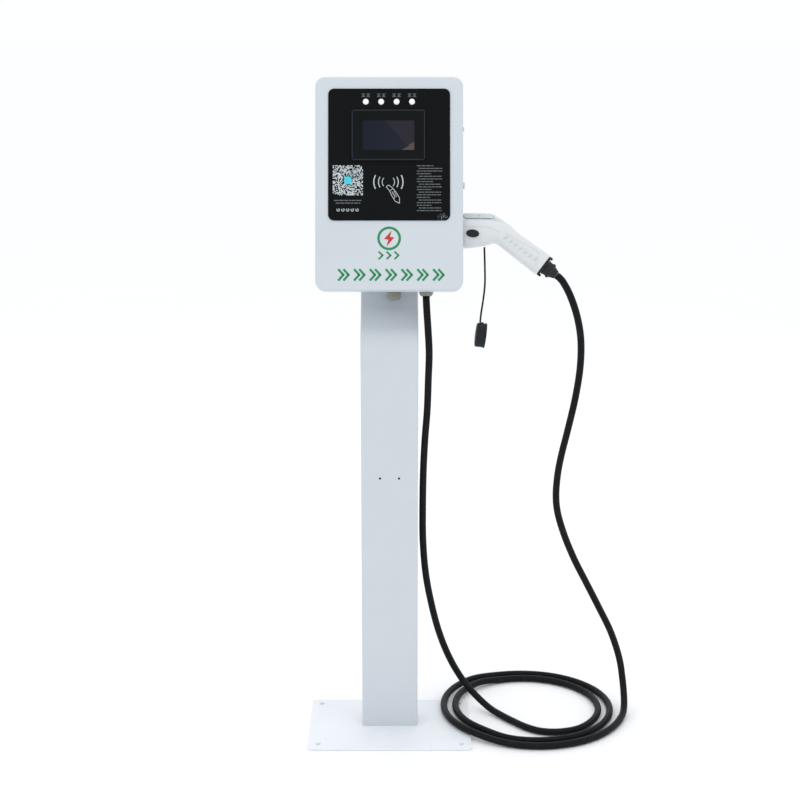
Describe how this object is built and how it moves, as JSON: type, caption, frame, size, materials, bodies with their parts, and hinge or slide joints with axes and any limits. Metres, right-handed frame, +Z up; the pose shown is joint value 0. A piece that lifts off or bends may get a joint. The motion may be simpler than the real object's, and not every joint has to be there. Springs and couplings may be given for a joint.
{
  "type": "ev charging post",
  "caption": "Electric vehicle charging post: leaning wall box with door, screen and lamps on a bent sheet-steel column, side holster, charging gun with cable coiled on the floor.",
  "frame": {"origin": "middle of the base plate's underside, on the floor", "axes": "+Z up; the screen faces -Y; +X is to the right seen from the front, where the gun hangs"},
  "size_m": [0.7058, 0.3969, 1.3952],
  "materials": {
    "white_paint": "satin powder coat",
    "plate_paint": "satin powder coat",
    "black_plastic": "fine grain",
    "fascia_gloss": "gloss",
    "screen_glass": "gloss, screen off",
    "lamp_lens": "translucent white",
    "zinc_steel": "zinc plated",
    "seal_rubber": "foam rubber",
    "cable_rubber": "satin cable jacket",
    "cap_rubber": "matt rubber",
    "grey_nylon": "light grey nylon",
    "gun_white": "satin moulded",
    "device_grey": "matt moulded",
    "board_green": "solder mask"
  },
  "bodies": {
    "stand": {"base_plate": "plate_paint", "column_shell": "white_paint", "column_rear_cover": "white_paint", "column_top_cap": "black_plastic", "mounting_bolt_1": "zinc_steel", "mounting_bolt_2": "zinc_steel", "mounting_bolt_3": "zinc_steel", "mounting_bolt_4": "zinc_steel", "housing_body": "white_paint", "door_seal": "seal_rubber", "hinge_pin_lower": "zinc_steel", "hinge_pin_upper": "zinc_steel", "keeper_peg_upper": "zinc_steel", "keeper_peg_lower": "zinc_steel", "equipment_plate": "zinc_steel", "din_rail": "zinc_steel", "surge_arrester": "device_grey", "breaker_body": "device_grey", "energy_meter": "device_grey", "contactor": "device_grey", "power_supply": "zinc_steel", "control_board": "board_green", "terminal_block": "device_grey", "cable_gland_body": "grey_nylon", "cable_gland_nut": "grey_nylon", "cable_gland_locknut": "grey_nylon", "supply_gland_body": "grey_nylon", "supply_gland_nut": "grey_nylon", "supply_gland_locknut": "grey_nylon", "holster_cup": "black_plastic", "cable_gland_drop": "cable_rubber", "cable_floor_turns": "cable_rubber"},
    "door": {"front_cover": "white_paint", "fascia_panel": "fascia_gloss", "display_bezel": "black_plastic", "display_glass": "screen_glass", "display_module": "device_grey", "status_lamp_1": "lamp_lens", "status_lamp_2": "lamp_lens", "status_lamp_3": "lamp_lens", "status_lamp_4": "lamp_lens", "card_reader_board": "board_green"},
    "lock_upper": {"side_lock_upper": "zinc_steel", "side_lock_cam_upper": "zinc_steel"},
    "lock_lower": {"side_lock_lower": "zinc_steel", "side_lock_cam_lower": "zinc_steel"},
    "breaker_switch": {"breaker_toggle": "black_plastic"},
    "gun": {"gun_shell_front": "gun_white", "gun_shell_rear": "gun_white", "gun_nose_shroud": "black_plastic", "gun_contact_carrier": "black_plastic", "latch_pin": "zinc_steel", "gun_badge": "black_plastic", "gun_end_flange": "black_plastic", "cable_boot": "cable_rubber", "cable_gun_drop": "cable_rubber"},
    "latch": {"latch_lever": "gun_white"},
    "dust_cap": {"dust_cap": "cap_rubber", "dust_cap_strap": "cap_rubber"}
  },
  "joints": [
    {"name": "door_hinge", "type": "hinge", "parent": "stand", "child": "door", "pos_m": [-0.146, 0.0456, 1.1747], "axis": [0, -0.2588, -0.9659], "range_deg": [0, 110]},
    {"name": "lock_upper_turn", "type": "hinge", "parent": "door", "child": "lock_upper", "pos_m": [0.146, 0.05482, 1.29025], "axis": [1, 0, 0], "range_deg": [-90, 0]},
    {"name": "lock_lower_turn", "type": "hinge", "parent": "door", "child": "lock_lower", "pos_m": [0.146, 0.02505, 1.17917], "axis": [1, 0, 0], "range_deg": [-90, 0]},
    {"name": "breaker_toggle_turn", "type": "hinge", "parent": "stand", "child": "breaker_switch", "pos_m": [-0.048, 0.08157, 1.25099], "axis": [1, 0, 0], "range_deg": [-56, 0]},
    {"name": "gun_draw", "type": "slide", "parent": "stand", "child": "gun", "axis": [1, 0, 0], "range_m": [0, 0.075]},
    {"name": "latch_press", "type": "hinge", "parent": "gun", "child": "latch", "pos_m": [0.186, 0.05898, 1.11262], "axis": [0, 0.9659, -0.2588], "range_deg": [0, 4], "stiffness_Nm_per_rad": 0.3},
    {"name": "dust_cap_swing", "type": "hinge", "parent": "gun", "child": "dust_cap", "pos_m": [0.1965, 0.0426, 1.05], "axis": [0, 1, 0], "range_deg": [-20, 20]}
  ]
}
